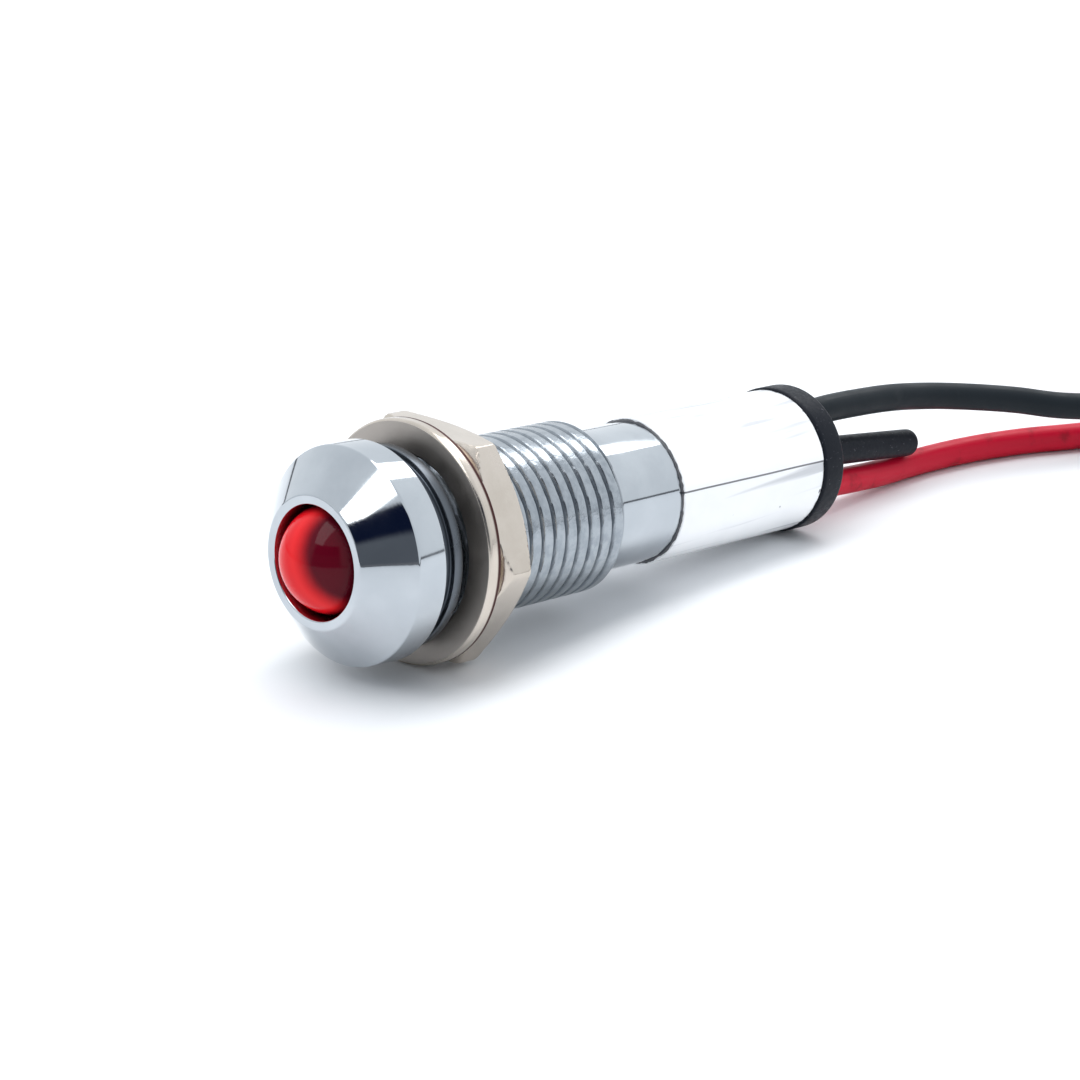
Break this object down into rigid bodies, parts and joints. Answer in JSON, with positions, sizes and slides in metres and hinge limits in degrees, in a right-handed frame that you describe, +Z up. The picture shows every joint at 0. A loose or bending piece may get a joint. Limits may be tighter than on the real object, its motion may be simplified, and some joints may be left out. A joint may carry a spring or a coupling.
{
  "type": "panel pilot light",
  "caption": "Small chromed panel pilot light with a bevelled head, red domed lamp, threaded barrel with nut and washer, labelled tail, rear plug and two leads in a hank.",
  "frame": {"origin": "on the surface that the light lies on, under the middle of the light without its leads", "axes": "+X along the light from lens to rear plug, level with the surface; the light's own axis falls 4.3 degrees below +X; +Z up"},
  "size_m": [0.0831, 0.0161, 0.011],
  "materials": {
    "chromed_brass": "bright chrome plate",
    "red_epoxy": "clear red tinted epoxy",
    "plated_frame": "silver plate",
    "chip": "semiconductor",
    "insulation": "woven sleeving",
    "solder": "solder",
    "resistor_lacquer": "lacquer",
    "moulded_epoxy": "moulded",
    "tinned_wire": "tinned",
    "label_paper": "gloss coated paper",
    "clear_film": "clear film",
    "black_plug": "moulded, satin",
    "nickel_plate": "nickel plate",
    "red_pvc": "soft PVC",
    "black_pvc": "soft PVC"
  },
  "bodies": {
    "lamp": {"bezel_body": "chromed_brass", "led_lens": "red_epoxy", "led_cathode_leg": "plated_frame", "led_anode_leg": "plated_frame", "led_chip": "chip", "sleeve_anode": "insulation", "sleeve_cathode": "insulation", "solder_anode": "solder", "solder_cathode": "solder", "solder_red": "solder", "solder_black": "solder", "resistor_body": "resistor_lacquer", "resistor_wire_front": "tinned_wire", "resistor_wire_rear": "tinned_wire", "diode_body": "moulded_epoxy", "diode_wire_front": "tinned_wire", "diode_wire_rear": "tinned_wire", "label_wrap": "label_paper", "label_film": "clear_film", "rear_plug": "black_plug", "lead_red": "red_pvc", "lead_red_core": "tinned_wire", "lead_red_coil": "red_pvc", "lead_red_end": "red_pvc", "lead_red_tip": "tinned_wire", "lead_black": "black_pvc", "lead_black_core": "tinned_wire", "lead_black_coil": "black_pvc", "lead_black_end": "black_pvc", "lead_black_tip": "tinned_wire"},
    "washer": {"flat_washer": "nickel_plate"},
    "nut": {"panel_nut": "nickel_plate"}
  },
  "joints": [
    {"name": "washer_slide", "type": "slide", "parent": "lamp", "child": "washer", "axis": [0.9972, 0, -0.0745], "range_m": [-0.00065, 0.0072]},
    {"name": "nut_turn", "type": "hinge", "parent": "washer", "child": "nut", "pos_m": [-0.01317, 0, 0.0054], "axis": [0.9972, 0, -0.0745], "range_deg": [-325, 3475]}
  ],
  "couplings": [
    {"joint": "nut_turn", "follows": "washer_slide", "rad_per_m": 8377.6}
  ]
}
